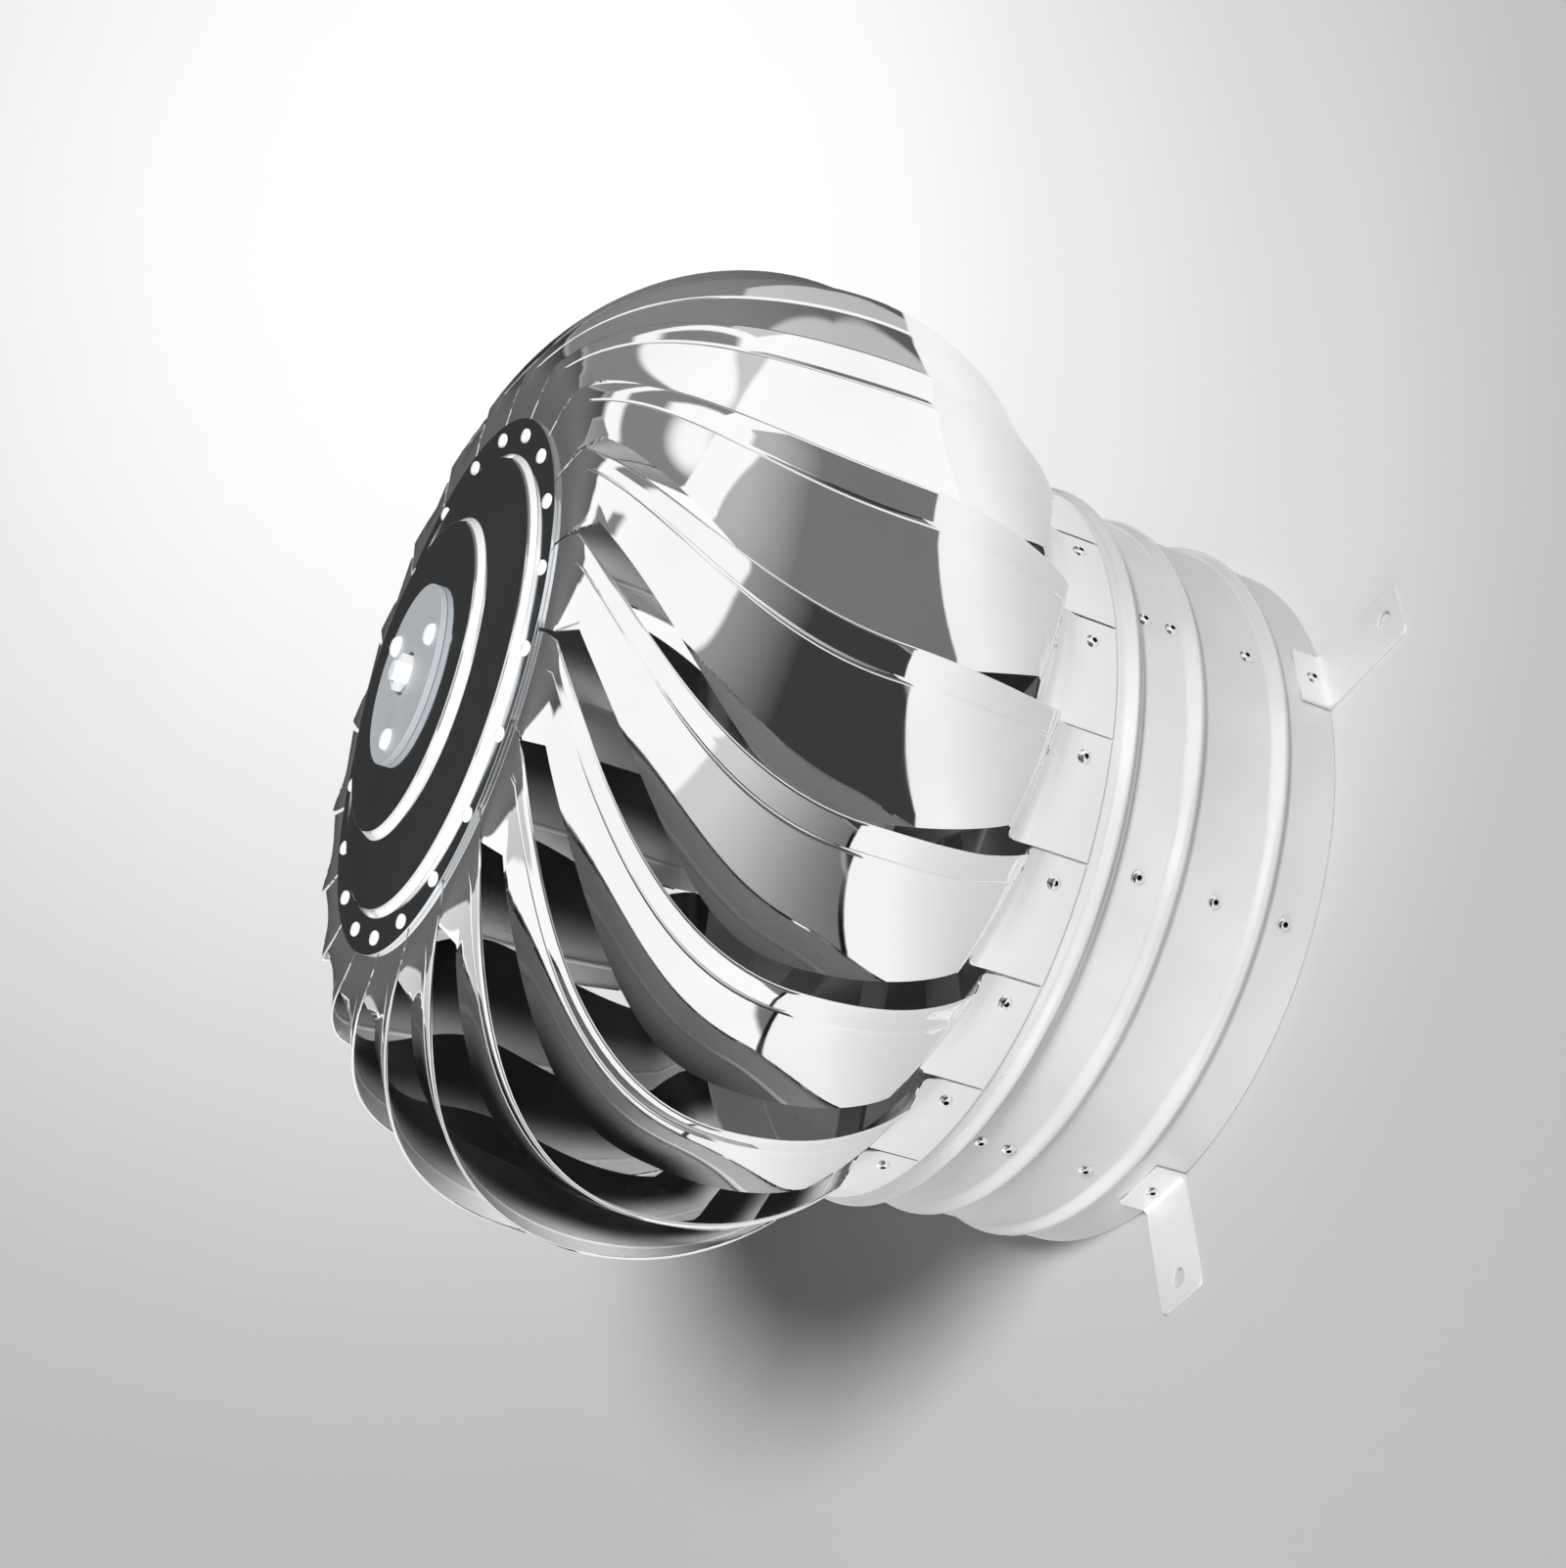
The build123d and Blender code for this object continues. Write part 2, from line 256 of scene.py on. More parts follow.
def innerLook(graph):      # painted light near the free lip, where the daylight comes in, and painted shade deeper in; matt near the lip
    tuck = graph.node("ShaderNodeAttribute", {"attribute_name": "tuck"}, output="Fac")
    shadedDeep = tuck.step(*innerWall["lightReach"])
    hairlines = graph.noise(grain["hairline"], (1, 1, 0.02), detail=2.0)
    polish = innerWall["smooth"] + clouds(graph) * innerWall["soft"]
    polish = polish + hairlines * grain["hairlinePolish"]
    return graph.node("ShaderNodeBsdfPrincipled", inputs={
        # painted light by the lip, painted shade deeper in
        "Base Color": graph.blend(shadedDeep, grey(innerWall["lip"]), grey(innerWall["shadedDeep"], 0.01)),
        "Metallic": shadedDeep * (1 - innerWall["lipMetal"]) + innerWall["lipMetal"],
        "Roughness": polish,
        "Normal": graph.bump(hairlines * innerWall["hairlineDepth"], 1.0, grain["relief"]),
    })


collarHazeAndLight = {
    "start": 6.0 * mm,
    "full": 1.0 * mm,
    "share": 0.16,
}


def hazeAndLightMask(graph):      # faint matt haze on the collar beside the cap, with painted light that lightens it
    height = graph.parts(graph.place())[2]
    hazeAndLight = height.ramp(capLow.z - collarHazeAndLight["start"], capLow.z - collarHazeAndLight["full"])
    return hazeAndLight * collarHazeAndLight["share"]


mirrorSheet = newMaterial(
    "mirrorSheet", metal("mirror", (1, 1, 0.02), wave=0.2 * mm, mattAndHighlight=hazeAndLightMask),
)
insideSheet = newMaterial("insideSheet", innerLook)
satinSheet = newMaterial("satinSheet", metal("satin", (0.03, 0.03, 1), wave=0.1 * mm))
footSteel = newMaterial("footSteel", metal("foot", (1, 1, 0.1)))
barSteel = newMaterial("barSteel", metal("bar", (0.05, 0.05, 1)))
turnedSteel = newMaterial("turnedSteel", metal("turned", (0.04, 0.04, 1)))
platedSteel = newMaterial("platedSteel", metal("plated", (1, 1, 1)))
rivetAlloy = newMaterial("rivetAlloy", metal("rivet", (1, 1, 1)))
rivetHoleShade = newMaterial("rivetHoleShade", metal("holeShade", (1, 1, 1)))
castAlloy = newMaterial("castAlloy", metal("cast", (1, 1, 1)))
print("materials made:", len(bpy.data.materials))


# Mesh helpers

def finishPiece(name, shape, material, body, nodes, angle=35):
    mesh = bpy.data.meshes.new(name)
    bmesh.ops.recalc_face_normals(shape, faces=shape.faces)
    for face in shape.faces:
        face.smooth = True
    shape.to_mesh(mesh)
    shape.free()
    mesh.set_sharp_from_angle(angle=math.radians(angle))
    mesh.materials.append(material)
    piece = bpy.data.objects.new(name, mesh)
    bpy.context.scene.collection.objects.link(piece)
    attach(piece, body)
    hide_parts(*nodes)
    return piece


rounding = {
    "straight": 30,      # corners that turn less than this many degrees stay as they are
    "reach": 0.35,       # most of an edge's length that a corner may take
    "hold": 1.3,         # extra point past the curve, that keeps the flat flat
}


def softened(outline, radius, points=4):      # rounds the corners of a closed outline
    rows = []
    for index, spot in enumerate(outline):
        corner = Vector(spot)
        back = Vector(outline[index - 1]) - corner
        ahead = Vector(outline[(index + 1) % len(outline)]) - corner
        if back.angle(-ahead) < math.radians(rounding["straight"]):
            rows.append(corner)
            continue
        reach = min(radius, back.length * rounding["reach"], ahead.length * rounding["reach"])
        held = reach * rounding["hold"]
        start = corner + back.normalized() * reach
        end = corner + ahead.normalized() * reach
        rows.append(corner + back.normalized() * held)
        for point in range(points + 1):
            share = point / points
            rows.append(start.lerp(corner, share).lerp(corner.lerp(end, share), share))
        rows.append(corner + ahead.normalized() * held)
    return rows


def spun(outline, steps=256, closed=True):      # (radius, height) corners turned about the axis
    shape = bmesh.new()
    corners = [shape.verts.new((radius, 0, height)) for radius, height in outline]
    pairs = list(zip(corners, corners[1:]))
    if closed:
        pairs.append((corners[-1], corners[0]))
    edges = [shape.edges.new(pair) for pair in pairs]
    bmesh.ops.spin(
        shape, geom=corners + edges, cent=(0, 0, 0), axis=(0, 0, 1), dvec=(0, 0, 0),
        angle=math.tau, steps=steps, use_merge=True, use_duplicate=False,
    )
    bmesh.ops.remove_doubles(shape, verts=shape.verts, dist=1e-6)
    return shape


def copied(target, source, place):      # adds a placed copy of one bmesh to another
    mesh = bpy.data.meshes.new("copy")
    source.to_mesh(mesh)
    before = len(target.verts)
    target.from_mesh(mesh)
    target.verts.ensure_lookup_table()
    bmesh.ops.transform(target, matrix=place, verts=target.verts[before:])
    bpy.data.meshes.remove(mesh)


def turn(degrees):
    return Matrix.Rotation(math.radians(degrees), 4, "Z")


def roundedBead(radius, middle, rise, width, points=16):      # smooth ridge, bottom to top
    rows = []
    for index in range(points + 1):
        share = index / points
        swell = (1 - math.cos(math.tau * share)) / 2
        rows.append((radius + rise * swell, middle + width * (share - 0.5)))
    return rows


# Swept scoop blades

blade = {
    "count": 20,
    "firstAngle": 2.75,
    "sheet": 0.8 * mm,
    "bellyRadius": 202.9 * mm,
    "bellyRise": 122.6 * mm,
    "cornerRadius": 133.0 * mm,
    "cornerTilt": 72.0,
    "flangeRise": 13.0 * mm,
    "rivetBand": 17.0 * mm,
    "flangeHeight": 24.0 * mm,
    "joggleHeight": 11.0 * mm,
    "joggleSkew": 9.0,
    "scoopDepth": 26.0 * mm,
    "scoopEnd": 5.0 * mm,
    "scoopPower": 1.3,
    "lip": 11.0 * mm,
    "hem": 1.3 * mm,
    "foldWidth": 1.0 * mm,
    "foldDepth": 0.5 * mm,
    "fullGap": 10.0 * mm,
    "rivetFlat": 19.4 * mm,
    "lipShare": 0.26,
    "span": 16.0,
    "ringSpan": 17.7,
    "capSpan": 19.0,
    "lag": 3.4,
    "lagFade": 0.6,
    "lagPower": 3,
    "sweep": 30.1,
    "sweepPower": 2.15,
    "rootRadius": 96.5 * mm,
    "rootSweep": 5.5,
    "wedge": 2.0 * mm,
    "seatClearance": 0.35 * mm,
    "rows": 40,
    "faceColumns": 10,
    "rim": 0.25 * mm,
    "rimAngle": 75,
}
ringOuter = 154.0 * mm
bellyHeight = ringLow.z + blade["bellyRise"]
flangeBase = ringLow.z + blade["flangeRise"]
flangeTop = flangeBase + blade["flangeHeight"]
faceBase = flangeTop + blade["joggleHeight"]
capSeat = capLow.z
cornerSine = math.sin(math.radians(blade["cornerTilt"]))
cornerCosine = math.cos(math.radians(blade["cornerTilt"]))
bellySemiHeight = (capSeat - bellyHeight) / cornerSine
bellyCentre = (blade["cornerRadius"] - blade["bellyRadius"] * cornerCosine) / (1 - cornerCosine)
baseTilt = -math.degrees(math.asin((bellyHeight - faceBase) / bellySemiHeight))


def lipSweep(tilt):
    if tilt > 0:
        return blade["sweep"] * (tilt / blade["cornerTilt"]) ** blade["sweepPower"] - blade["lag"]
    return -blade["lag"] * (1 - blade["lagFade"] * (tilt / baseTilt) ** blade["lagPower"])


def scoopGap(tilt):
    share = (tilt - (blade["cornerTilt"] + baseTilt) / 2) / (blade["cornerTilt"] - baseTilt)
    swell = max(math.cos(math.pi * share), 0) ** blade["scoopPower"]
    return blade["scoopEnd"] + (blade["scoopDepth"] - blade["scoopEnd"]) * swell


def section(radius, height, angle, lean, gap, span, lip, skew=0.0):
    return {
        "radius": radius, "height": height, "angle": angle, "lean": lean,
        "gap": gap, "span": span, "lip": lip, "skew": skew,
    }


def faceSection(tilt):      # across the scooped face at one place of the belly's ellipse
    turning = math.radians(tilt)
    reach = blade["bellyRadius"] - bellyCentre
    lean = math.degrees(math.atan(math.tan(turning) * reach / bellySemiHeight))
    return section(
        bellyCentre + reach * math.cos(turning), bellyHeight + bellySemiHeight * math.sin(turning),
        lipSweep(tilt), lean, scoopGap(tilt), blade["span"], blade["lip"],
        -blade["joggleSkew"] * max(tilt / baseTilt, 0),
    )


def between(low, high, count):      # sections that pass smoothly from one to the next
    rows = []
    for index in range(1, count):
        share = index / count
        ease = share * share * (3 - 2 * share)
        row = {name: low[name] + (high[name] - low[name]) * ease for name in low}
        row["height"] = low["height"] + (high["height"] - low["height"]) * share
        rows.append(row)
    return rows


def bladeSections():
    seat = ringOuter + blade["sheet"] + blade["seatClearance"]
    crown = lipSweep(blade["cornerTilt"])
    collar = (blade["cornerRadius"] + capHigh.x) / 2
    skew = -blade["joggleSkew"]
    foot = section(seat, flangeBase, 0, 0, 0, blade["ringSpan"], blade["rivetFlat"])
    waist = section(
        seat, flangeBase + blade["rivetBand"], 0, 0, 0,
        blade["ringSpan"], blade["rivetFlat"], skew / 2,
    )
    shoulder = section(
        seat + blade["wedge"], flangeTop, 0, 0, blade["wedge"],
        blade["ringSpan"], blade["lip"], skew,
    )
    face = []
    for index in range(blade["rows"] + 1):
        share = index / blade["rows"]
        face.append(faceSection(baseTilt + share * (blade["cornerTilt"] - baseTilt)))
    rim = section(
        collar, capSeat, crown + blade["rootSweep"] / 3, 90, 0,
        blade["capSpan"], blade["lip"],
    )
    root = section(
        blade["rootRadius"], capSeat, crown + blade["rootSweep"], 90, 0,
        blade["capSpan"], blade["lip"],
    )
    rows = [foot] + between(foot, waist, 3) + [waist] + between(waist, shoulder, 3) + [shoulder]
    rows += between(shoulder, face[0], 5) + face + [rim] + between(rim, root, 3) + [root]
    return rows


def acrossBlade(row):      # (distance back, drop): curled free edge, lip strip, pressed fold, face
    width = row["radius"] * math.sin(math.radians(row["span"]))
    crease = row["gap"] * blade["lipShare"]
    pressed = min(1, row["gap"] / blade["fullGap"])
    lip, hem, fold = row["lip"], blade["hem"], blade["foldWidth"]
    places = []
    for degrees in (90, 60, 30, 0):
        curl = math.radians(degrees)
        places.append((hem * (1 - math.sin(curl)), hem * (1 - math.cos(curl)) * pressed))
    places += [((hem + lip) / 2, 0), (lip - fold, 0)]
    depth = blade["foldDepth"] * pressed
    places += [(lip - fold / 3, depth), (lip + fold / 3, depth)]
    start = lip + fold
    for index in range(blade["faceColumns"] + 1):
        places.append((start + (width - start) * index / blade["faceColumns"], 0))
    curve = math.cos(math.radians(row["lean"])) / (2 * row["radius"])
    stops = []
    for distance, drop in places:
        if distance <= lip:
            drop += crease * distance / lip
        else:
            drop += crease + (row["gap"] - crease) * (distance - lip) / (width - lip)
        stops.append((distance, drop + curve * distance ** 2))
    return stops


def bladeRow(row):      # the places of one section on the outer wall
    turning = math.radians(row["angle"])
    lean = math.radians(row["lean"])
    roll = math.radians(row["skew"])
    radial = Vector((math.cos(turning), math.sin(turning), 0))
    around = Vector((-math.sin(turning), math.cos(turning), 0))
    normal = radial * math.cos(lean) + Vector((0, 0, math.sin(lean)))
    rising = around.cross(normal) * -1
    across = around * math.cos(roll) + rising * math.sin(roll)
    edge = radial * row["radius"] + Vector((0, 0, row["height"]))
    return [edge - across * distance - normal * drop for distance, drop in acrossBlade(row)]


def bladeShape():
    rows = [bladeRow(row) for row in bladeSections()]
    columns = len(rows[0]) - 1
    folds = (5, 8)      # columns beside the pressed fold
    shape = bmesh.new()
    bmesh.ops.create_grid(shape, x_segments=columns, y_segments=len(rows) - 1, size=1)
    sides = {fold: set() for fold in folds}
    tuck = shape.verts.layers.float.new("tuck")      # 0 at the lip, 1 at the tucked edge
    for vert in shape.verts:
        column = round((vert.co.x + 1) / 2 * columns)
        row = round((vert.co.y + 1) / 2 * (len(rows) - 1))
        if column in sides:
            sides[column].add(vert)
        vert[tuck] = max(column - folds[1], 0) / blade["faceColumns"]
        vert.co = rows[row][column]
    for side in sides.values():
        for edge in shape.edges:
            if edge.verts[0] in side and edge.verts[1] in side:
                edge.smooth = False
    return shape


def makeBlades():
    for index in range(blade["count"]):
        shape = bladeShape()
        centre = sum((vert.co for vert in shape.verts), Vector()) / len(shape.verts)
        bmesh.ops.recalc_face_normals(shape, faces=shape.faces)
        shape.faces.ensure_lookup_table()
        middle = shape.faces[len(shape.faces) // 2]
        if middle.normal.dot(Vector((centre.x, centre.y, 0))) < 0:
            bmesh.ops.reverse_faces(shape, faces=shape.faces)
        place = turn(blade["firstAngle"] + index * 360 / blade["count"])
        bmesh.ops.transform(shape, matrix=place, verts=shape.verts)
        for face in shape.faces:
            face.smooth = True
        name = f"scoopBlade{index + 1:02d}"
        mesh = bpy.data.meshes.new(name)
        shape.to_mesh(mesh)
        shape.free()
        mesh.materials.append(mirrorSheet)
        mesh.materials.append(insideSheet)
        piece = bpy.data.objects.new(name, mesh)
        bpy.context.scene.collection.objects.link(piece)
        wall = piece.modifiers.new("wall", "SOLIDIFY")
        wall.thickness = blade["sheet"]
        wall.offset = -1
        wall.material_offset = 1
        rim = piece.modifiers.new("rim", "BEVEL")
        rim.width = blade["rim"]
        rim.segments = 2
        rim.limit_method = "ANGLE"
        rim.angle_limit = math.radians(blade["rimAngle"])
        rim.harden_normals = True
        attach(piece, "rotor")
        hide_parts(f"blade_{index + 1:02d}")


makeBlades()
print("blades made:", blade["count"])


# Neck tube and rotor ring

neck = {
    "radius": 150.0 * mm,
    "sheet": 1.0 * mm,
    "beadRise": 3.2 * mm,
    "beadWidth": 11.0 * mm,
    "beads": (25.5 * mm, 65.0 * mm),
    "edge": 0.25 * mm,
}
ring = {
    "inner": 153.0 * mm,
    "beadRise": 3.0 * mm,
    "beadWidth": 8.6 * mm,
    "edge": 0.25 * mm,
}


def makeNeck():
    outline = [(neck["radius"], neckLow.z)]
    for height in neck["beads"]:
        outline += roundedBead(neck["radius"], height, neck["beadRise"], neck["beadWidth"])
    inner = neck["radius"] - neck["sheet"]
    outline += [(neck["radius"], neckHigh.z), (inner, neckHigh.z), (inner, neckLow.z)]
    shape = spun(softened(outline, neck["edge"]))
    finishPiece("neckTube", shape, satinSheet, "base", ["neck_tube"])


def makeRing():
    middle = ringLow.z + ring["beadWidth"] / 2
    outline = roundedBead(ringOuter, middle, ring["beadRise"], ring["beadWidth"])
    outline += [(ringOuter, ringHigh.z), (ring["inner"], ringHigh.z), (ring["inner"], ringLow.z)]
    shape = spun(softened(outline, ring["edge"]))
    finishPiece("rotorRing", shape, satinSheet, "rotor", ["rotor_ring"])


makeNeck()
makeRing()
print("neck and ring made")


# Cap plate, hub and its fasteners

cap = {
    "sheet": 1.5 * mm,
    "radius": 110.0 * mm,
    "rimWidth": 15.0 * mm,
    "firstRise": 3.0 * mm,
    "coneWidth": 29.0 * mm,
    "coneRise": 5.5 * mm,
    "run": 2.5 * mm,
    # share of each cone's run painted bright as its highlight
    "mattAndHighlight": 0.75,
    "hole": 22.3 * mm,
    "edge": 0.4 * mm,
}
hub = {
    "radius": 37.0 * mm,
    "flange": 2.5 * mm,
    "drop": 5.0 * mm,
    "relief": 1.5 * mm,
    "opening": 9.0 * mm,
    "bearingOpening": 13.0 * mm,
    "barrel": 22.0 * mm,
    "bore": 17.55 * mm,
    "edge": 0.3 * mm,
    "screws": 3,
    "screwRing": 27.0 * mm,
    "screwAngle": 69.5,
    "screwRadius": 4.5 * mm,
    "screwRise": 2.8 * mm,
}


def pressedSteps(graph):      # the two short cones of the cap, painted bright as their highlight
    x, y = graph.parts(graph.place())[:2]
    radius = (x * x + y * y).math("SQRT")
    first = cap["radius"] - cap["rimWidth"]
    second = first - cap["coneWidth"]
    mattAndHighlight = cap["run"] * cap["mattAndHighlight"]
    soft = cap["run"] / 10
    return radius.inside(first - mattAndHighlight, first, soft) + radius.inside(second - mattAndHighlight, second, soft)


def makeCap():
    capSheet = newMaterial("capSheet", metal("cap", (1, 1, 0.05), mattAndHighlight=pressedSteps))
    rim = capLow.z + cap["sheet"]
    firstStep = cap["radius"] - cap["rimWidth"]
    firstTop = rim + cap["firstRise"]
    secondStep = firstStep - cap["coneWidth"]
    coneTop = firstTop + cap["coneRise"]
    top = [
        (cap["radius"], rim), (firstStep, rim), (firstStep - cap["run"], firstTop),
        (secondStep, coneTop), (secondStep - cap["run"], capHigh.z), (cap["hole"], capHigh.z),
    ]
    under = [(radius, height - cap["sheet"]) for radius, height in reversed(top)]
    shape = spun(softened(top + under, cap["edge"]))
    finishPiece("capPlate", shape, capSheet, "rotor", ["cap_plate"])


def makeHub():
    top = hubHigh.z
    seat = top - hub["flange"]
    lid = seat - hub["drop"]
    relief = lid + hub["relief"]
    outline = [
        (hub["bore"], hubLow.z), (hub["barrel"], hubLow.z), (hub["barrel"], seat),
        (hub["radius"], seat), (hub["radius"], top), (hub["opening"], top),
        (hub["opening"], relief), (hub["bearingOpening"], relief), (hub["bearingOpening"], lid),
        (hub["bore"], lid),
    ]
    shape = spun(softened(outline, hub["edge"]), steps=192)
    finishPiece("bearingHousing", shape, castAlloy, "rotor", ["upper_housing"])


head = {
    "points": 8,
    "squareness": 0.7,
    "brim": 76,              # degrees up the dome at which the hole starts
    "brimHeight": 0.93,
    "holeFloor": 0.1,
    "holeTaper": 0.9,
    "underside": 0.01,       # below this share of the height a face is no part of the hole
}


def domedHead(radius, height, steps=24, hole=0.0):      # round head, with a hole if asked
    outline = []
    if hole:
        bottom, brim = height * head["holeFloor"], height * head["brimHeight"]
        outline = [(0, bottom), (hole * head["holeTaper"], bottom), (hole, brim)]
    last = head["points"] - 1
    for index in range(head["points"]):
        bend = math.radians((head["brim"] if hole else 90) * (1 - index / last))
        outline.append((radius * math.cos(bend) ** head["squareness"], height * math.sin(bend)))
    outline.append((0, 0))
    shape = spun(outline, steps=steps, closed=False)
    for face in shape.faces:
        spot = face.calc_center_median()
        inHole = spot.xy.length < hole and spot.z > head["underside"] * height
        # faces in the hole get the second material, the painted hole shade
        face.material_index = 1 if inHole else 0
    return shape


def makeScrews():
    joined = bmesh.new()
    screw = domedHead(hub["screwRadius"], hub["screwRise"], steps=32)
    for index in range(hub["screws"]):
        place = turn(hub["screwAngle"] + index * 360 / hub["screws"])
        copied(joined, screw, place @ Matrix.Translation((hub["screwRing"], 0, hubHigh.z)))
    screw.free()
    finishPiece("hubScrews", joined, platedSteel, "rotor", ["hub_screws"], angle=40)


rivet = {
    "radius": 3.0 * mm,
    "rise": 1.5 * mm,
    "hole": 1.1 * mm,
    "lift": 0.05 * mm,
    "ringRise": 10.6 * mm,
    "setback": 9.7 * mm,
    "capRing": 103.0 * mm,
    "capSweep": 27.0,
    "strapHeights": (39.0 * mm, 74.5 * mm, 87.0 * mm),
    "footHeight": 7.5 * mm,
    "footSheet": 1.5 * mm,
    "seamHeights": (13.4 * mm, 45.7 * mm, 80.4 * mm),
    "seamAngle": -86.5,
    "feet": 4,
    "firstFoot": 45.0,
}


def wallPlace(radius, height, angle):
    tilt = Matrix.Rotation(math.radians(90), 4, "Y")
    return turn(angle) @ Matrix.Translation((radius, 0, height)) @ tilt


def rivetSet(name, places, node, body, hole=rivet["hole"], finish=rivetAlloy):
    joined = bmesh.new()
    single = domedHead(rivet["radius"], rivet["rise"], hole=hole)
    for place in places:
        copied(joined, single, place)
    single.free()
    piece = finishPiece(name, joined, finish, body, [node], angle=40)
    # second material: painted shade inside the rivet holes
    piece.data.materials.append(rivetHoleShade)


def makeRivets():
    pitch = 360 / blade["count"]
    seat = ringOuter + blade["sheet"] + blade["seatClearance"]
    back = math.degrees(math.asin(rivet["setback"] / seat))
    ringSeat = seat * math.cos(math.radians(back)) + rivet["lift"]
    ringHeight = flangeBase + rivet["ringRise"]
    first = blade["firstAngle"]
    rivetSet("ringRivets", [
        wallPlace(ringSeat, ringHeight, first - back + index * pitch)
        for index in range(blade["count"])
    ], "ring_rivets", "rotor")
    capTop = Matrix.Translation((rivet["capRing"], 0, capLow.z + cap["sheet"]))
    rivetSet("capRivets", [
        turn(first + rivet["capSweep"] + index * pitch) @ capTop
        for index in range(blade["count"])
    ], "cap_rivets", "rotor", hole=0.0, finish=platedSteel)
    legs = [rivet["firstFoot"] + index * 360 / rivet["feet"] for index in range(rivet["feet"])]
    rivetSet("strapRivets", [
        wallPlace(neck["radius"], height, angle)
        for angle in legs for height in rivet["strapHeights"]
    ], "strap_rivets", "base")
    rivetSet("footRivets", [
        wallPlace(neck["radius"] + rivet["footSheet"], rivet["footHeight"], angle)
        for angle in legs
    ], "foot_rivets", "base")
    rivetSet("seamRivets", [
        wallPlace(neck["radius"], height, rivet["seamAngle"])
        for height in rivet["seamHeights"]
    ], "seam_rivets", "base")


makeCap()
makeHub()
makeScrews()
makeRivets()
print("cap, hub and rivets made")


# Nodes that keep their CAD mesh

def dressNodes():
    looks = {
        "strap_lower": barSteel, "strap_upper": barSteel, "lower_spider": barSteel,
        "spindle": platedSteel, "bearing": turnedSteel,
        "foot_1": footSteel, "foot_2": footSteel, "foot_3": footSteel, "foot_4": footSteel,
    }
    for name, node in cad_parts.items():
        for start, material in looks.items():
            if name.startswith(start):
                node.data.materials.clear()
                node.data.materials.append(material)


dressNodes()


# Studio surroundings, which the polished sheets show

cards = {
    "leftPaper": {
        "azimuth": (-172, -132), "height": (-1.2, 0.743),
        "level": (0.11, 0.66), "fade": (-0.3, 0.6),
    },
    "darkDoor": {
        "azimuth": (-132, -94), "height": (-1.2, 0.883),
        "level": (0.045, 0.38), "fade": (0.48, 1.0),
    },
    "greyWall": {
        "azimuth": (-94, -54), "height": (-1.2, 0.913),
        "level": (0.18, 0.46), "fade": (0.55, 0.85),
    },
    "windowSill": {
        "azimuth": (-22, 70), "height": (0.82, 0.94),
        "level": (0.23, 0.23), "fade": (0, 1),
    },
    "rightLight": {
        "azimuth": (-18, 3), "height": (-1.2, 0.75),
        "level": (0.5, 0.6), "fade": (-0.3, 0.5),
    },
    "rightDark": {
        "azimuth": (3, 66), "height": (-1.2, 0.75),
        "level": (0.10, 0.24), "fade": (-0.3, 0.6),
    },
    "behindCap": {
        "azimuth": (66, 106), "height": (-0.05, 0.76),
        "level": (0.038, 0.044), "fade": (0, 0.5),
    },
    "backGrey": {
        "azimuth": (106, 118), "height": (-0.1, 0.7),
        "level": (0.5, 0.6), "fade": (0, 0.5),
    },
}
studio = {
    "floorRadius": 16.0,
    "floorDrop": 0.2 * mm,
    "bright": 1.0,
    "cardSoft": 1.2,
    "edgeSoft": 0.012,
    "middle": 0.17,
    "glowCentre": -0.08,
    "glowRadius": 0.69,
    "glowSoft": 0.02,
    # painted contact shade: the floor's glow is dimmer by the neck
    "glowNear": 0.62,
    "glowFar": 0.92,
    "glowReach": 0.5,
    "throat": 0.15,
    "throatSoft": 0.01,
    # painted shadow level inside the throat
    "throatDark": 0.02,
    "seenSky": 0.85,
    "ambient": (0.46, 0.0),
    "ambientFade": (0.1, 0.7),
    "skirting": (0.69, 0.75),
    "skirtingSoft": 0.01,
    "skirtingSide": (-0.75, -0.65),
    "skirtingDark": 0.96,
    "paint": 0.5,
    "bounce": 0.15,
    "spread": (1.06, 0.59),
    "nearest": 0.3,
    # painted pool of light on the floor
    "paintedLightPool": (0.17, 0.25),
    "spotFade": (0.05, 0.5),
    "mottle": 3.0,
    "mottleDepth": 0.02,
}


def surround(graph, direction):      # grey level of the studio in a direction
    x, y, z = graph.parts(direction)
    azimuth = y.math("ARCTAN2", x) * (180 / math.pi)
    level = None
    for card in cards.values():
        across = azimuth.inside(*card["azimuth"], studio["cardSoft"])
        tall = z.inside(*card["height"], studio["edgeSoft"])
        low, high = card["level"]
        shade = z.ramp(*card["fade"]) * (high - low) + low
        if level is None:
            level = (shade - studio["bright"]) * across * tall + studio["bright"]
        else:
            level = level.toward(shade, across * tall)
    return level


def floorShine(graph, place):      # what the polished sheets see of the floor, with painted shadow in the throat and painted contact shade by the neck, and past its glow
    x, y = graph.parts(place)[:2]
    reach = graph.node("ShaderNodeVectorMath", {"operation": "LENGTH"}, {0: place}, output="Value")
    upright = graph.node("ShaderNodeCombineXYZ", inputs={0: x, 1: y, 2: -studio["middle"]})
    outward = graph.node("ShaderNodeVectorMath", {"operation": "NORMALIZE"}, {0: upright})
    shifted = x - studio["glowCentre"]
    aside = (shifted * shifted + y * y).math("SQRT")
    rise = studio["glowFar"] - studio["glowNear"]
    # painted contact shade: dimmer glow near the neck
    glow = reach.step(studio["throat"], studio["glowReach"]) * rise + studio["glowNear"]
    # painted shadow: dark floor inside the throat
    beside = reach.step(studio["throat"] - studio["throatSoft"], studio["throat"])
    glow = glow * beside + studio["throatDark"]
    past = aside.step(studio["glowRadius"], studio["glowRadius"] + studio["glowSoft"])
    behindLeft = 1 - (x / reach).step(*studio["skirtingSide"])
    line = aside.inside(*studio["skirting"], studio["skirtingSoft"]) * behindLeft
    return glow.toward(surround(graph, outward), past) * (1 - line * studio["skirtingDark"])


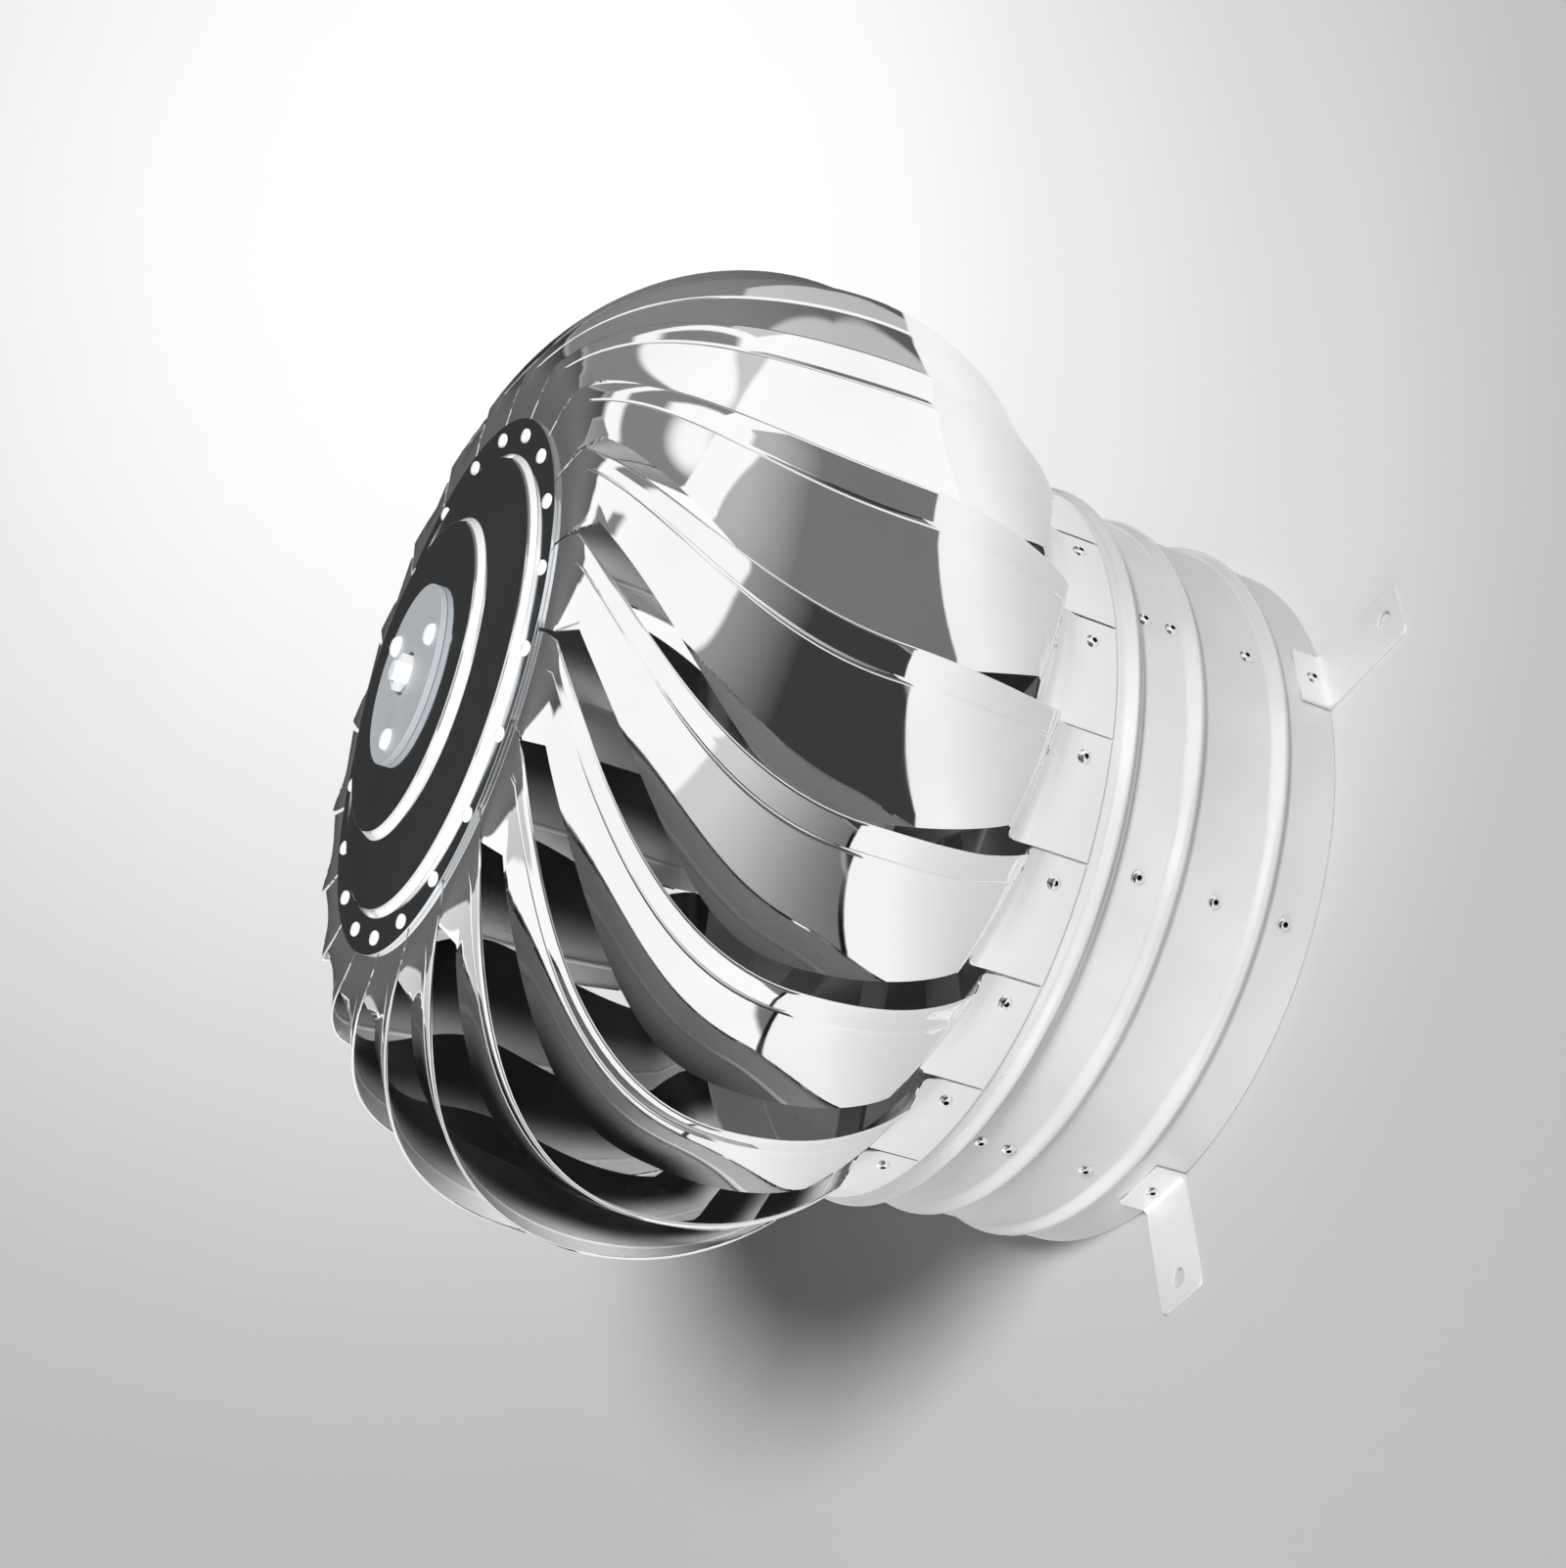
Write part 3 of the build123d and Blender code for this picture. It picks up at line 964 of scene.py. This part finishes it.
def floorPaint(graph, place):      # painted pool of light, and darker for the light it throws back
    x, y = graph.parts(place)[:2]
    depth, scale = studio["spread"]
    shrink = 1 / (y + depth).math("MAXIMUM", studio["nearest"])
    spotX, spotY = studio["paintedLightPool"]
    sideways = x * shrink - spotX
    along = shrink * scale - spotY
    # painted pool of light: bright near its centre
    spot = 1 - (sideways * sideways + along * along).math("SQRT").step(*studio["spotFade"])
    paint = spot * (1 - studio["paint"]) + studio["paint"]
    mottleDepth = studio["mottleDepth"]
    mottle = graph.noise(studio["mottle"], detail=2.0) * mottleDepth + (1 - mottleDepth / 2)
    cameraRays = graph.node("ShaderNodeLightPath", output="Is Camera Ray")
    return paint * mottle * (cameraRays * (1 - studio["bounce"]) + studio["bounce"])


def floorLook(graph):
    place = graph.place()
    matte = graph.node("ShaderNodeBsdfDiffuse", inputs={"Color": floorPaint(graph, place)})
    shine = graph.node("ShaderNodeEmission", inputs={
        "Color": floorShine(graph, place), "Strength": 1.0,
    })
    glossyRays = graph.node("ShaderNodeLightPath", output="Is Glossy Ray")
    return graph.node("ShaderNodeMixShader", inputs={0: glossyRays, 1: matte, 2: shine})


def makeFloor():
    shape = bmesh.new()
    bmesh.ops.create_circle(shape, cap_ends=True, segments=96, radius=studio["floorRadius"])
    mesh = bpy.data.meshes.new("floor")
    shape.to_mesh(mesh)
    shape.free()
    mesh.materials.append(newMaterial("floorPaint", floorLook))
    floor = bpy.data.objects.new("floor", mesh)
    bpy.context.scene.collection.objects.link(floor)
    floor.location.z = -studio["floorDrop"]


def makeWorld():
    world = bpy.data.worlds.new("studioWorld")
    world.use_nodes = True
    graph = Graph(world.node_tree)
    direction = graph.node("ShaderNodeTexCoord", output="Generated")
    cameraRays = graph.node("ShaderNodeLightPath", output="Is Camera Ray")
    glossyRays = graph.node("ShaderNodeLightPath", output="Is Glossy Ray")
    overhead = graph.parts(direction)[2].step(*studio["ambientFade"])
    low, high = studio["ambient"]
    soft = graph.blend(overhead, grey(low), grey(high))
    lit = graph.blend(glossyRays, soft, surround(graph, direction))
    seen = graph.blend(cameraRays, lit, grey(studio["seenSky"]))
    sky = graph.node("ShaderNodeBackground", inputs={"Color": seen, "Strength": 1.0})
    graph.node("ShaderNodeOutputWorld", inputs={"Surface": sky})
    bpy.context.scene.world = world


lamps = {
    "keyLamp": {"place": (1.4, -3.4, 3.4), "spread": 18, "power": 4.12},
    "fillLamp": {"place": (-3.0, -1.9, 0.18), "spread": 20, "power": 2.3},
}


def makeLamp(name, place, spread, power):      # far soft lamp that shines on the origin
    lamp = bpy.data.lights.new(name, "SUN")
    lamp.angle = math.radians(spread)
    lamp.energy = power
    made = bpy.data.objects.new(name, lamp)
    bpy.context.scene.collection.objects.link(made)
    made.location = place
    made.rotation_euler = (-Vector(place)).to_track_quat("-Z", "Y").to_euler()
    made.visible_glossy = False


camera = {
    "place": (-0.00697, -1.05575, 0.59094),
    "right": (0.29986, -0.3572, -0.88458),
    "up": (0.95394, 0.1031, 0.28174),
    "back": (-0.00943, -0.92832, 0.37167),
    "lens": 63.18,
    "sensor": 36,
    "clipStart": 0.02,
}


def makeCamera():
    made = bpy.data.cameras.new("camera")
    made.lens = camera["lens"]
    made.sensor_width = camera["sensor"]
    made.clip_start = camera["clipStart"]
    viewer = bpy.data.objects.new("camera", made)
    bpy.context.scene.collection.objects.link(viewer)
    axes = Matrix((camera["right"], camera["up"], camera["back"])).transposed()
    viewer.matrix_world = Matrix.Translation(camera["place"]) @ axes.to_4x4()
    bpy.context.scene.camera = viewer


makeFloor()
makeWorld()
for lampName, lampValues in lamps.items():
    makeLamp(lampName, **lampValues)
makeCamera()
bpy.context.scene.view_settings.view_transform = "Standard"
print("studio made")
